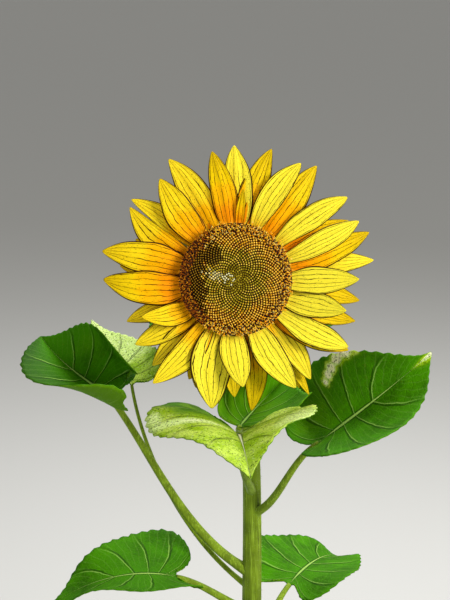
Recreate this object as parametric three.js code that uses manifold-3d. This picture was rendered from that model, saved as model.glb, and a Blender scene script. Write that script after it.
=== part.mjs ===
// A sunflower plant in full bloom, rooted in level ground: one tapering stem that nods under a single
// large flower head, petioles that reach out from the stem, and a broad heart-shaped blade on each.
// Millimetres, +Z up, the flower looks to the front (-Y), and the origin is the middle of the stem's foot.

import * as THREE from 'three';
import { LoftGeometry } from 'three/addons/geometries/LoftGeometry.js';
import { mergeVertices } from 'three/addons/utils/BufferGeometryUtils.js';
import Module from 'manifold-3d';

const wasm = await Module();
wasm.setup();

// Driving dimensions
const GAP = 0.3;                      // clear space between neighbouring solids
const HEAD_CENTRE = new THREE.Vector3(-15, -62, 800);
const HEAD_TILT = 15;                 // degrees that the flower looks above the horizon
const DISC_RADIUS = 53;
const DISC_CROWN = 10;                // how far the seed disc domes out in front of its rim
const PLATE_RADIUS = 48;              // each whorl of rays stands on a round plate of this radius
const PLATE_THICKNESS = 3;
const RAY_ROOT = 44;                  // rays start this far from the head's axis, inside their plate
const RAY_THICKNESS = 1.5;
const FREE_RADIUS = DISC_RADIUS + 2;  // rays lie flat under the disc up to here and curve freely beyond
const RECEPTACLE_DEPTH = 27;
const NECK_RADIUS = 8;
const STEM_FOOT_RADIUS = 12.5;
const ROOT_FLARE = 6.5;               // extra radius where the stem meets the ground
const FLARE_HEIGHT = 16;
const BLADE_THICKNESS = 2.6;
const PETIOLE_ROOT_RADIUS = 4.6;
const PETIOLE_TIP_RADIUS = 2.7;
const PETIOLE_SETBACK = 0.5;          // the petiole's tip stops this short of the blade's base

const COLOURS = {
  stem: 0x6f8f2c, petiole: 0x7c9a34, leaf: 0x33700f, youngLeaf: 0x6f9a2a, bract: 0x4c7d1e,
  disc: 0x5a3c12, frontRay: 0xf7dc22, middleRay: 0xf0c414, backRay: 0xe39a10,
};

// The rays of each whorl as [clock angle of the root, sweep of the tip, reach, width, forward lean, skew].
// The clock runs from 12 at the top as seen from the front, in degrees, and reach is from the head's axis.
// A ray with a skew is broader on its clockwise side, or on the other side where it is below 0.
const FRONT_RAYS = [
  [354, -4.5, 121, 23, 0], [3, 2, 84, 8, 2], [21, 8.3, 124, 26, 0], [49, 4.7, 129, 24, 0],
  [68, -3.3, 127, 23, 0], [92, -2, 114, 24, 8], [110, -4, 106, 24, 14], [127, -6, 122, 26, 4],
  [158, -7, 115, 26, 4], [184, -8, 99, 27, 20], [198, -7.5, 122, 37, 4], [212, 6.5, 123, 25, 4],
  [238, 10, 93, 21, 20], [262, 8, 123, 30, 0], [285, -3, 127, 28, 0], [319, 4, 117, 27, 2],
];
const MIDDLE_RAYS = [
  [1, -1.5, 126, 28, 0], [8.5, 7, 127, 24, 0], [34, 1.5, 131, 26, 0], [74, -3.5, 133, 24, 0],
  [80, 2, 131, 21, 0], [130, -8, 125, 22, 0], [139, 4, 117, 22, 0], [204, -4, 108, 22, 0],
  [223, 1, 112, 22, 0], [232, 5, 112, 22, 0], [298, 6.5, 120, 23, 0, -0.4], [310, -2.5, 123, 20, 0, 0.4],
  [338, -7, 129, 27, 0],
];
const BACK_RAYS = [
  [16, 2, 98, 20, 0], [41, 1, 98, 20, 0], [60, 2.5, 121, 22, 0], [98, 1.5, 119, 20, 0],
  [113, -4, 120, 20, 0], [136, 6, 106, 18, 0], [146, 3.4, 119, 15, 0], [144, 3.4, 129, 13, 0],
  [163, 10, 125, 23, 0], [184, -3.6, 111, 23, 0], [205, 0, 104, 20, 0], [217, 5, 102, 20, 0],
  [250, -1, 110, 19, 0], [275, 2, 110, 20, 0], [291, 1, 102, 20, 0], [326, 1, 104, 22, 0],
  [345, -1, 85, 18, 0],
];

// How each whorl leaves its plate: slope at the root and how far it curls back at the tip, in mm over its length
const WHORLS = [
  { name: 'ray_whorl_front', rays: FRONT_RAYS, slope: 16, curl: 10, colour: COLOURS.frontRay },
  { name: 'ray_whorl_middle', rays: MIDDLE_RAYS, slope: 6, curl: 8, colour: COLOURS.middleRay },
  { name: 'ray_whorl_back', rays: BACK_RAYS, slope: -6, curl: 6, colour: COLOURS.backRay },
];

// Points that the stem's centre line passes on its way from the ground to the back of the head
const STEM_LINE = [
  [0, 0, -6], [1, 3, 180], [3, 8, 400], [2, 12, 590], [-5, 13, 700], [-12, 5, 760], [-15, -14, 786],
  [-15, -27, 790.6],
];

// Leaves by name. node is the height on the stem where the petiole leaves it, base is where the blade starts.
// heading is seen from above: 0 to the front, 90 to +X, 180 to the back. rise and droop shape the midrib and
// swing turns it sideways. roll tips the blade about its midrib. For the blade's two sides, at -y and +y:
// half is the half width, fold the slope at the midrib and bend how much more the side curls up by its
// margin, both from the blade's base to its tip. lobes stretches the two basal lobes, lift turns them up
// behind the petiole, and notch narrows the gap between them. ruffle waves the margin: [height, waves, phase].
// trim narrows one side near a place along the blade: [side, place, length, cut]. All angles are in degrees.
const UPPER_LEAVES = [
  { name: 'right', node: 535, base: [66, -45, 632], heading: 99, rise: 35, droop: -8, swing: -4, roll: 58,
    half: [96, 80], fold: [[75, -3], [-60, 75]], bend: [[-2, 87], [44, -111]], lobes: 1.6, lift: 27, notch: 0.2,
    ruffle: [2, 2, 0], length: 140, arrive: [0.8, -0.2, 0.6] },
  { name: 'left', node: 470, base: [-140, 14, 659], heading: 273, rise: 35, droop: 7, swing: -60, roll: -13,
    half: [84, 116], fold: [[88, 32], [9, 48]], bend: [[75, 66], [72, -96]], lobes: 1.6, lift: 20, notch: 0.4,
    trim: [1, 0.33, 0.1, 0.3], ruffle: [2, 2, 0], length: 100, arrive: [-0.55, -0.1, 0.8], thickness: 1.15 },
  { name: 'young', node: 450, base: [-121, 58, 657], heading: 196, rise: 10, droop: -14, swing: 16, roll: 12,
    half: [45, 67], fold: [[46, 3], [36, 19]], bend: [[10, 13], [-3, 4]], lobes: 1.1, lift: 6,
    ruffle: [2, 3, 0.4], length: 130, arrive: [-0.15, 0.2, 0.97], thickness: 0.6 },
  { name: 'front', node: 560, base: [-13, -109, 664], heading: 2, rise: 20, droop: 27, swing: 3, roll: -1,
    half: [89, 74], fold: [[44, 29], [27, 52]], bend: [[-59, -96], [-15, -59]], lobes: 1.9, lift: 23,
    ruffle: [3, 3, 0], length: 155, arrive: [0, -0.8, 0.6] },
  { name: 'middle', node: 600, base: [-11, -65, 655], heading: 172, rise: -8, droop: -40, swing: -42, roll: 28,
    half: [74, 54], fold: [[38, 51], [0, 60]], bend: [[34, 18], [102, 47]], lobes: 2.2, lift: 1,
    ruffle: [2, 3, 0], length: 126, arrive: [0.1, -0.8, 0.3] },
  { name: 'back_left', node: 625, base: [-52, 70, 690], heading: 205, rise: 25, droop: 45, swing: 0, roll: 0,
    half: [46, 46], fold: [[12, 12], [12, 12]], bend: [[8, 8], [8, 8]], lobes: 1, lift: 10,
    ruffle: [3, 3, 0], length: 104 },
  { name: 'back_right', node: 650, base: [40, 74, 704], heading: 150, rise: 25, droop: 45, swing: 0, roll: 0,
    half: [46, 46], fold: [[12, 12], [12, 12]], bend: [[8, 8], [8, 8]], lobes: 1, lift: 10,
    ruffle: [3, 3, 1], length: 112 },
];

// The lower leaves follow one rule: each stands a golden angle round the stem from the one under it
const LOWER_LEAVES = 8;
const GOLDEN_ANGLE = 137.5;
const LOWEST_NODE = 95;
const NODE_SPACING = 47;
const FIRST_HEADING = 40;

const degrees = THREE.MathUtils.degToRad;
const UP = new THREE.Vector3(0, 0, 1);
const FACING = new THREE.Vector3(0, -Math.cos(degrees(HEAD_TILT)), Math.sin(degrees(HEAD_TILT)));
const HEAD_UP = new THREE.Vector3(0, Math.sin(degrees(HEAD_TILT)), Math.cos(degrees(HEAD_TILT)));
const HEAD_RIGHT = new THREE.Vector3(1, 0, 0);

// A closed mesh as a solid that can be joined and cut
function solidOf(geometry) {
  const bare = new THREE.BufferGeometry();
  bare.setAttribute('position', geometry.getAttribute('position'));
  bare.setIndex(geometry.getIndex());
  const merged = mergeVertices(bare, 1e-3);
  return new wasm.Manifold(new wasm.Mesh({
    numProp: 3,
    vertProperties: merged.attributes.position.array,
    triVerts: new Uint32Array(merged.index.array),
  }));
}

function geometryOf(solid) {
  const mesh = solid.getMesh();
  const positions = new Float32Array(mesh.numVert * 3);
  for (let i = 0; i < mesh.numVert; i++) {
    positions.set(mesh.vertProperties.subarray(i * mesh.numProp, i * mesh.numProp + 3), i * 3);
  }
  const geometry = new THREE.BufferGeometry();
  geometry.setAttribute('position', new THREE.BufferAttribute(positions, 3));
  geometry.setIndex(new THREE.BufferAttribute(mesh.triVerts, 1));
  geometry.computeVertexNormals();
  return geometry;
}

// A solid through a row of rings, with each end ring closed by a fan of triangles
function loft(rings) {
  const skin = new LoftGeometry(rings);
  const row = rings[0].length + 1;
  const last = (rings.length - 1) * row;
  const index = Array.from(skin.getIndex().array);
  for (let i = 1; i < row - 2; i++) {
    index.push(0, i + 1, i, last, last + i, last + i + 1);
  }
  skin.setIndex(index);
  return solidOf(skin);
}

// The main body of a solid, without the crumbs that a cut may leave
function mainBody(solid) {
  return solid.decompose().reduce((best, piece) => (piece.volume() > best.volume() ? piece : best));
}

function joined(solids) {
  return solids.reduce((whole, solid) => whole.add(solid));
}

// A tapering limb along a curve. grow makes it fatter and longer all round, to cut its place in a neighbour.
function limb(curve, radiusAt, { steps, sides, grow = 0 }) {
  const frames = curve.computeFrenetFrames(steps);
  const sections = [];
  for (let i = 0; i <= steps; i++) {
    const t = i / steps;
    const end = i === 0 ? -grow : i === steps ? grow : 0;
    const centre = curve.getPointAt(t).addScaledVector(frames.tangents[i], end);
    const radius = radiusAt(t) + grow;
    const ring = [];
    for (let j = 0; j < sides; j++) {
      const angle = (j / sides) * 2 * Math.PI;
      ring.push(centre.clone()
        .addScaledVector(frames.normals[i], radius * Math.cos(angle))
        .addScaledVector(frames.binormals[i], radius * Math.sin(angle)));
    }
    sections.push(ring);
  }
  return loft(sections);
}

const stemCurve = new THREE.CatmullRomCurve3(STEM_LINE.map((p) => new THREE.Vector3(...p)), false, 'centripetal');

// The stem tapers from foot to neck, flares at the root and swells again under the head
function stemRadius(t) {
  const height = stemCurve.getPointAt(t).z;
  const taper = THREE.MathUtils.lerp(STEM_FOOT_RADIUS, NECK_RADIUS, Math.min(1, t / 0.93));
  const swell = 5 * THREE.MathUtils.smoothstep(t, 0.93, 1);
  return taper + ROOT_FLARE * Math.exp(-Math.max(0, height) / FLARE_HEIGHT) + swell;
}

function stemSolid(grow = 0) {
  const whole = limb(stemCurve, stemRadius, { steps: 26, sides: 10, grow });
  const side = 200;
  const ground = new THREE.BoxGeometry(side, side, side).translate(0, 0, -side / 2);
  return whole.subtract(solidOf(ground));
}

// A point of the head from its clock angle, its distance from the axis and its height in front of the rim
function headPoint(clock, radius, height) {
  const angle = degrees(clock);
  return HEAD_CENTRE.clone()
    .addScaledVector(HEAD_RIGHT, radius * Math.sin(angle))
    .addScaledVector(HEAD_UP, radius * Math.cos(angle))
    .addScaledVector(FACING, height);
}

// Turns a lathe's own axis, which three.js has along +Y, to the head's axis, and puts it on the head
function onHead(geometry) {
  const turn = new THREE.Quaternion().setFromUnitVectors(new THREE.Vector3(0, 1, 0), FACING);
  return geometry.applyQuaternion(turn).translate(...HEAD_CENTRE);
}

function lathe(profile, segments) {
  return new THREE.LatheGeometry(profile.map(([radius, height]) => new THREE.Vector2(radius, height)), segments);
}

// Half width of a ray as a share of its full half width, from its narrow claw to its pointed tip
function rayOutline(t) {
  const claw = 0.3 * (1 - t) ** 3;
  return claw + 3.25 * t ** 0.8 * (1 - t) ** 0.85;
}

function raySolid([clock, sweep, reach, width, lean, skew = 0], whorl, plateHeight) {
  const steps = 5;
  const ridges = [-1, -0.4, 0.4, 1];
  const sections = [];
  for (let i = 0; i <= steps; i++) {
    const t = Math.min(i / steps, 0.985);
    const radius = RAY_ROOT + (reach - RAY_ROOT) * t;
    const clockHere = clock + sweep * t ** 1.5;
    const free = Math.max(0, (radius - FREE_RADIUS) / (reach - FREE_RADIUS));
    const rise = plateHeight + whorl.slope * free - whorl.curl * free ** 2 + lean * free ** 2;
    const halfWidth = (width / 2) * rayOutline(t);
    const across = headPoint(clockHere + 90, 1, 0).sub(HEAD_CENTRE);
    const spine = headPoint(clockHere, radius, rise);
    const top = ridges.map((u) => spine.clone()
      .addScaledVector(across, halfWidth * u * (1 + skew * Math.sign(u)))
      .addScaledVector(FACING, -0.12 * halfWidth * u * u));
    const bottom = [top[2], top[1]].map((p) => p.clone().addScaledVector(FACING, -RAY_THICKNESS));
    sections.push([...top, ...bottom]);
  }
  return loft(sections);
}

// A whorl is its round plate with every ray sunk into the plate's edge
function whorlSolid(whorl, index) {
  const front = -GAP - index * (PLATE_THICKNESS + GAP);
  const back = front - PLATE_THICKNESS;
  const plate = onHead(lathe([[0, back], [PLATE_RADIUS, back], [PLATE_RADIUS, front], [0, front]], 36));
  const middle = (front + back) / 2 + RAY_THICKNESS / 2;
  return joined([solidOf(plate), ...whorl.rays.map((ray) => raySolid(ray, whorl, middle))]);
}

// The domed seed disc, with a fringe of open florets round its rim
function discSolid() {
  const segments = 40;
  const rim = DISC_RADIUS;
  const profile = [
    [0, 0], [0.5 * rim, 0], [0.93 * rim, 0], [rim, 3.5], [0.985 * rim, 8], [0.86 * rim, 9.5],
    [0.72 * rim, 7.5], [0.5 * rim, DISC_CROWN], [0.26 * rim, DISC_CROWN + 1], [0, DISC_CROWN - 1.5],
  ];
  const geometry = lathe(profile, segments);
  const position = geometry.getAttribute('position');
  const floretDepth = 1.6;
  for (let i = 0; i < position.count; i++) {
    const x = position.getX(i);
    const z = position.getZ(i);
    const radius = Math.hypot(x, z);
    const step = Math.round((Math.atan2(x, z) / (2 * Math.PI)) * segments);
    const isFringe = radius > 0.8 * rim && position.getY(i) > 3;
    if (isFringe) {
      const shift = (step % 2 === 0 ? 1 : -1) * floretDepth;
      position.setX(i, x * (1 + shift / radius));
      position.setZ(i, z * (1 + shift / radius));
      position.setY(i, position.getY(i) + shift / 2);
    }
  }
  return solidOf(onHead(geometry));
}

// Green bracts in two rows behind the rays, fused to the cup-shaped receptacle
function receptacleSolid() {
  const front = -GAP - WHORLS.length * (PLATE_THICKNESS + GAP);
  const back = front - RECEPTACLE_DEPTH;
  const profile = [
    [0, back], [15, back], [26, back + 5], [38, back + 13], [PLATE_RADIUS - 2, front - 4],
    [PLATE_RADIUS, front], [0, front],
  ];
  const cup = solidOf(onHead(lathe(profile, 24)));
  const rows = [
    { count: 15, reach: 76, width: 19, root: 40, height: front - 4.5, fall: 13, turn: 4 },
    { count: 15, reach: 69, width: 17, root: 34, height: front - 10, fall: 17, turn: 16 },
  ];
  const bracts = rows.flatMap((row) => Array.from({ length: row.count }, (_, i) =>
    bractSolid({ ...row, clock: row.turn + (i * 360) / row.count })));
  return joined([cup, ...bracts]);
}

function bractSolid({ clock, reach, width, root, height, fall }) {
  const steps = 3;
  const thickness = 1.6;
  const sections = [];
  for (let i = 0; i <= steps; i++) {
    const t = Math.min(i / steps, 0.97);
    const halfWidth = (width / 2) * (1 - t) ** 0.8 * (0.75 + 0.9 * t);
    const spine = headPoint(clock, root + (reach - root) * t, height - fall * t * t);
    const across = headPoint(clock + 90, 1, 0).sub(HEAD_CENTRE);
    sections.push([
      spine.clone().addScaledVector(across, -halfWidth).addScaledVector(FACING, -1.2),
      spine.clone(),
      spine.clone().addScaledVector(across, halfWidth).addScaledVector(FACING, -1.2),
      spine.clone().addScaledVector(FACING, -thickness - 1.2),
    ]);
  }
  return loft(sections);
}

// A heart-shaped blade as [distance along the midrib, half width], as shares of its length and width
const BLADE_OUTLINE = new THREE.SplineCurve([
  [0, 0.01], [-0.005, 0.07], [-0.06, 0.15], [-0.11, 0.27], [-0.06, 0.42], [0.1, 0.5], [0.28, 0.485],
  [0.46, 0.4], [0.64, 0.28], [0.8, 0.155], [0.92, 0.055], [1, 0.004],
].map(([x, y]) => new THREE.Vector2(x, y)));

// The midrib's course and the blade's own axes at a distance along it; behind the base they turn up by lift
function midribFrame(leaf, distance) {
  const share = Math.min(1, distance / leaf.length);
  const behind = Math.min(1, Math.max(0, -share) / 0.1);
  const heading = degrees(leaf.heading + leaf.swing * Math.max(0, share));
  const climb = degrees(leaf.rise - leaf.droop * Math.max(0, share) - leaf.lift * behind);
  const along = new THREE.Vector3(
    Math.sin(heading) * Math.cos(climb), -Math.cos(heading) * Math.cos(climb), Math.sin(climb));
  const level = new THREE.Vector3(Math.cos(heading), Math.sin(heading), 0);
  const upright = along.clone().cross(level);
  const roll = degrees(leaf.roll);
  const side = level.clone().multiplyScalar(Math.cos(roll)).addScaledVector(upright, Math.sin(roll));
  return { along, side, face: along.clone().cross(side), share: Math.max(0, share) };
}

function midribPoint(leaf, distance) {
  const point = new THREE.Vector3(...leaf.base);
  const steps = 10;
  for (let i = 0; i < steps; i++) {
    point.addScaledVector(midribFrame(leaf, ((i + 0.5) / steps) * distance).along, distance / steps);
  }
  return point;
}

// Bends a point of the flat blade, which lies at x along the midrib and y across it, to its place in space.
// Across the midrib the blade follows an arc: its slope is fold at the midrib, fold + bend at the full width.
function bladePoint(leaf, x, y, wave, depth) {
  const { side, face, share } = midribFrame(leaf, x);
  const hand = y < 0 ? 0 : 1;
  const sign = y < 0 ? -1 : 1;
  const half = leaf.half[hand];
  const fold = degrees(THREE.MathUtils.lerp(...leaf.fold[hand], share));
  const bend = degrees(THREE.MathUtils.lerp(...leaf.bend[hand], share)) || 1e-4;
  const slope = fold + (bend * Math.abs(y)) / half;
  const across = (half * (Math.sin(slope) - Math.sin(fold))) / bend;
  const height = (half * (Math.cos(fold) - Math.cos(slope))) / bend + wave;
  const tilt = y === 0 ? 0 : slope;
  return midribPoint(leaf, x)
    .addScaledVector(side, sign * (across + depth * Math.sin(tilt)))
    .addScaledVector(face, height - depth * Math.cos(tilt));
}

function bladeSolid(leaf) {
  const steps = 14;
  const columns = [0.55];
  const [waveHeight, waves, phase] = leaf.ruffle;
  const [side, place, length, cut] = leaf.trim ?? [1, 0, 1, 0];
  const sections = [];
  for (let i = 0; i <= steps; i++) {
    const t = i / steps;
    const edge = BLADE_OUTLINE.getPoint(t);
    const tooth = i % 2 === 0 ? 1.03 : 0.97;
    const opening = THREE.MathUtils.lerp(leaf.notch ?? 1, 1, Math.min(1, t / 0.3) ** 2);
    const width = edge.y * opening * tooth;
    const edgeX = edge.x * leaf.length * (edge.x < 0 ? leaf.lobes : 1);
    const ribX = leaf.length * (0.35 * t + 0.65 * t ** 4);
    const thickness = BLADE_THICKNESS * Math.min(1, 0.35 + 2.2 * (1 - t));
    const at = (share, depth) => {
      const near = share * side > 0 ? cut * Math.exp(-(((t - place) / length) ** 2)) : 0;
      const half = leaf.half[share < 0 ? 0 : 1] * (1 - near);
      const reach = Math.max(0.8, width * 2 * half);
      const wave = waveHeight * share * share * Math.sin(2 * Math.PI * waves * t + phase) * Math.min(1, 6 * edge.y);
      return bladePoint(leaf, THREE.MathUtils.lerp(ribX, edgeX, Math.abs(share)), reach * share, wave, depth);
    };
    const top = [-1, ...columns.map((c) => -c).reverse(), 0, ...columns, 1].map((c) => at(c, 0));
    const bottom = [...columns.slice().reverse(), 0, ...columns.map((c) => -c)]
      .map((c) => at(c, thickness * (c === 0 ? 1.3 : 1)));
    sections.push([...top, ...bottom]);
  }
  return loft(sections.reverse());
}

// The petiole leaves the stem rising outwards and ends along the blade's midrib
function petioleCurve(leaf) {
  const along = stemCurve.getPoints(400).reduce((best, p) => (
    Math.abs(p.z - leaf.node) < Math.abs(best.z - leaf.node) ? p : best));
  const start = along.clone();
  const arrive = leaf.arrive ? new THREE.Vector3(...leaf.arrive).normalize() : midribFrame(leaf, 0).along;
  const end = new THREE.Vector3(...leaf.base).addScaledVector(arrive, -PETIOLE_SETBACK);
  const span = start.distanceTo(end);
  const out = end.clone().sub(start).setZ(0).normalize();
  const first = start.clone().addScaledVector(out, 0.3 * span).addScaledVector(UP, 0.16 * span);
  const last = end.clone().addScaledVector(arrive, -0.3 * span);
  return new THREE.CubicBezierCurve3(start, first, last, end);
}

function petioleSolid(leaf, grow = 0) {
  const thick = leaf.thickness ?? 1;
  const radius = (t) => thick * THREE.MathUtils.lerp(PETIOLE_ROOT_RADIUS, PETIOLE_TIP_RADIUS, t);
  return limb(petioleCurve(leaf), radius, { steps: 6, sides: 6, grow });
}

// Lower leaves are broader and their petioles longer the further down they stand
function lowerLeaf(index) {
  const heading = (FIRST_HEADING + GOLDEN_ANGLE * index) % 360;
  const share = index / (LOWER_LEAVES - 1);
  const reach = THREE.MathUtils.lerp(88, 76, share);
  const node = LOWEST_NODE + NODE_SPACING * index;
  const direction = degrees(heading);
  return {
    name: 'lower_' + (index + 1),
    node,
    base: [reach * Math.sin(direction), 10 - reach * Math.cos(direction), node + 48],
    heading,
    rise: 18,
    droop: 58,
    swing: index % 2 === 0 ? 8 : -8,
    roll: index % 3 === 0 ? 6 : -5,
    half: [THREE.MathUtils.lerp(74, 62, share), THREE.MathUtils.lerp(74, 62, share)],
    fold: [[14, 10], [14, 10]],
    bend: [[10, 10], [10, 10]],
    lobes: 1.3,
    lift: 12,
    ruffle: [4, 3, index],
    length: THREE.MathUtils.lerp(168, 140, share),
  };
}

function addMesh(group, name, solid, colour) {
  const material = new THREE.MeshStandardMaterial({ color: colour, roughness: 0.6, metalness: 0 });
  const mesh = new THREE.Mesh(geometryOf(solid), material);
  mesh.name = name;
  group.add(mesh);
}

const plant = new THREE.Group();

const receptacle = receptacleSolid();
addMesh(plant, 'stem', stemSolid().subtract(receptacle), COLOURS.stem);
addMesh(plant, 'receptacle', receptacle, COLOURS.bract);
addMesh(plant, 'seed_disc', discSolid(), COLOURS.disc);
WHORLS.forEach((whorl, index) => addMesh(plant, whorl.name, whorlSolid(whorl, index), whorl.colour));

const stemPlace = stemSolid(GAP);
const leaves = [...UPPER_LEAVES, ...Array.from({ length: LOWER_LEAVES }, (_, i) => lowerLeaf(i))];
for (const leaf of leaves) {
  const place = petioleSolid(leaf, GAP);
  addMesh(plant, 'petiole_' + leaf.name, mainBody(petioleSolid(leaf).subtract(stemPlace)), COLOURS.petiole);
  addMesh(plant, 'leaf_' + leaf.name, mainBody(bladeSolid(leaf).subtract(place)), COLOURS.leaf);
}

export default plant;
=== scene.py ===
"""A sunflower plant in full bloom: ribbed stem, hairy petioles, veined leaves and one large nodding head.

The plant faces the front (-Y), +Z is up, and the origin is the middle of the stem's foot. The tables give
sizes in millimetres and angles in degrees, and every piece is turned to metres when its mesh is made.
"""
import math
import random

import bpy
import numpy as np
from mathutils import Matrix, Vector


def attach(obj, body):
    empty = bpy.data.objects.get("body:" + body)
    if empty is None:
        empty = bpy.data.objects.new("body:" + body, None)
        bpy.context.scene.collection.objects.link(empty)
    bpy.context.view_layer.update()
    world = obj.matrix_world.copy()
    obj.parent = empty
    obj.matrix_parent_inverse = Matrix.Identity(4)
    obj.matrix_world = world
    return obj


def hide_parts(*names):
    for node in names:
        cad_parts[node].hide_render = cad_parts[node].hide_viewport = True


bl_info = {
    "name": "Sunflower Plant",
    "version": (1, 0, 0),
    "blender": (4, 2, 0),
    "location": "3D View > Sidebar > Sunflower",
    "description": "Grows a sunflower plant piece by piece over its plain solids",
    "category": "Object",
}

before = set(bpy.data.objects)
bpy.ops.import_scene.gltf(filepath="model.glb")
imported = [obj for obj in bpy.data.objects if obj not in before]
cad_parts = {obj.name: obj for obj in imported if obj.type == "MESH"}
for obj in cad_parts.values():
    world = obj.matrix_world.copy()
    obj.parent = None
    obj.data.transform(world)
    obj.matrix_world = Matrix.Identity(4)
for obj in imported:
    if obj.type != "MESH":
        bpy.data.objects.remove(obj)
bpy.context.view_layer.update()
MM = 0.001

# The head
HEAD_CENTRE = np.array([-15.0, -62.0, 800.0])
HEAD_TILT = math.radians(15)
HEAD_RIGHT = np.array([1.0, 0.0, 0.0])
HEAD_UP = np.array([0.0, math.sin(HEAD_TILT), math.cos(HEAD_TILT)])
FACING = np.array([0.0, -math.cos(HEAD_TILT), math.sin(HEAD_TILT)])
DISC_RADIUS = 53.0
# Rays: the radius of their roots, the radius where they come free, their thickness, how far every other one
# is raised or lowered, and the rows and columns of their mesh
RAY_ROOT, FREE_RADIUS, RAY_THICKNESS, RAY_STAGGER = 44.0, 55.0, 0.75, 0.7
RAY_ROWS, RAY_COLUMNS = 34, 17
# Clock angles of the rays in front whose foot is slender
SLENDER_FEET = (21, 49, 68, 127)
# Height of the seed disc's surface in front of its rim, by share of its radius
DISC_PROFILE = ([0, 0.12, 0.26, 0.5, 0.72, 0.86, 0.985, 1.0], [8.0, 9.6, 10.4, 9.4, 7.0, 8.4, 6.6, 3.0])
# Florets: the angle from each to the next, and the colours of their groups from the centre out to the rim.
# The palest centre colour is a painted highlight, and the darkest centre, middle and tip colours are painted
# shade.
FLORET_ANGLE = 137.50776
FLORET_COLOURS = {
    "centre_highlight": (0.78, 0.74, 0.40), "centre_bright": (0.46, 0.35, 0.018),
    "centre_olive": (0.24, 0.17, 0.005), "centre_painted_shade": (0.065, 0.046, 0.003),
    "middle_ochre": (0.72, 0.38, 0.016), "middle_brown": (0.28, 0.07, 0.003),
    "middle_painted_shade": (0.04, 0.012, 0.001), "tip_gold": (1.0, 0.66, 0.09), "tip_painted_shade": (0.36, 0.20, 0.012),
    "rim_brown": (0.30, 0.07, 0.004), "rim_amber": (1.0, 0.43, 0.01), "rim_gold": (1.0, 0.64, 0.04),
    "rim_straw": (1.0, 0.80, 0.26)}
# The colours that the open florets and their threads draw from
TUBE_COLOURS = ["rim_brown", "rim_amber", "rim_amber", "rim_gold"]
BRIGHT_THREADS = ["rim_gold", "rim_gold", "rim_straw", "rim_amber"]
# Threads of the open florets in painted shade
PAINTED_SHADE_THREADS = ["rim_amber", "rim_brown", "rim_brown"]

# Each whorl: height of its plate's middle, slope at the root, curl at the tip, and its rays as (clock angle
# of the root, sweep of the tip, reach, width, forward lean, warmth of its colour, skew to one side if any).
# The warmth is partly the ray's own orange and partly painted shade on rays turned from the light or
# sheltered behind others.
WHORLS = {
    "front": (-1.05, 16, 10, [
        (354, -4.5, 121, 23, 0, 1.0), (3, 2, 84, 8, 2, 1.0), (21, 8.3, 124, 26, 0, 0.15),
        (49, 4.7, 129, 24, 0, 0.1), (68, -3.3, 127, 23, 0, 0.05), (92, -2, 114, 24, 8, 0.0),
        (110, -4, 106, 24, 14, 0.0), (127, -6, 122, 26, 4, 0.0), (158, -7, 115, 26, 4, 0.05),
        (184, -8, 99, 27, 20, 0.1), (198, -7.5, 122, 37, 4, 0.15), (212, 6.5, 123, 25, 4, 0.5),
        (238, 10, 93, 21, 20, 0.78), (262, 8, 123, 30, 0, 0.95), (285, -3, 127, 28, 0, 0.85),
        (319, 4, 117, 27, 2, 0.8)]),
    "middle": (-4.35, 6, 8, [
        (1, -1.5, 126, 28, 0, 0.1), (8.5, 7, 127, 24, 0, 0.9), (34, 1.5, 131, 26, 0, 0.82),
        (74, -3.5, 133, 24, 0, 0.9), (80, 2, 131, 21, 0, 0.3), (130, -8, 125, 22, 0, 0.9),
        (139, 4, 117, 22, 0, 0.3), (204, -4, 108, 22, 0, 0.9), (223, 1, 112, 22, 0, 0.6),
        (232, 5, 112, 22, 0, 0.6), (298, 6.5, 120, 23, 0, 0.8, -0.4), (310, -2.5, 123, 20, 0, 0.7, 0.4),
        (338, -7, 129, 27, 0, 0.6)]),
    "back": (-7.65, -6, 6, [
        (16, 2, 98, 20, 0, 0.9), (41, 1, 98, 20, 0, 1.0), (60, 2.5, 121, 22, 0, 1.0),
        (98, 1.5, 119, 20, 0, 0.9), (113, -4, 120, 20, 0, 0.9), (136, 6, 106, 18, 0, 0.8),
        (146, 3.4, 119, 15, 0, 0.8), (144, 3.4, 129, 13, 0, 0.8), (163, 10, 125, 23, 0, 0.9),
        (184, -3.6, 111, 23, 0, 0.8), (205, 0, 104, 20, 0, 0.9), (217, 5, 102, 20, 0, 1.0),
        (250, -1, 110, 19, 0, 0.7), (275, 2, 110, 20, 0, 0.9), (291, 1, 102, 20, 0, 0.9),
        (326, 1, 104, 22, 0, 0.9), (345, -1, 85, 18, 0, 0.9)]),
}

# The stem's centre line, its radii and the share of its length where the neck begins, which widens again
STEM_LINE = [(0, 0, -6), (1, 3, 180), (3, 8, 400), (2, 12, 590), (-5, 13, 700), (-12, 5, 760),
             (-15, -14, 786), (-15, -27, 790.6)]
STEM_FOOT_RADIUS, NECK_RADIUS, ROOT_FLARE, FLARE_HEIGHT = 12.5, 8.0, 6.5, 16.0
NECK_START, NECK_SWELL = 0.93, 5
# The radii of a petiole's ends, how much its root swells and over which share of its length
PETIOLE_ROOT_RADIUS, PETIOLE_TIP_RADIUS, ROOT_SWELL, SWELL_LENGTH = 4.6, 2.7, 0.45, 0.12
# The radius of a hair and the directions of the corners of its foot
HAIR_RADIUS, HAIR_CORNERS = 0.14, (0, 2.09, 4.19)
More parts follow.
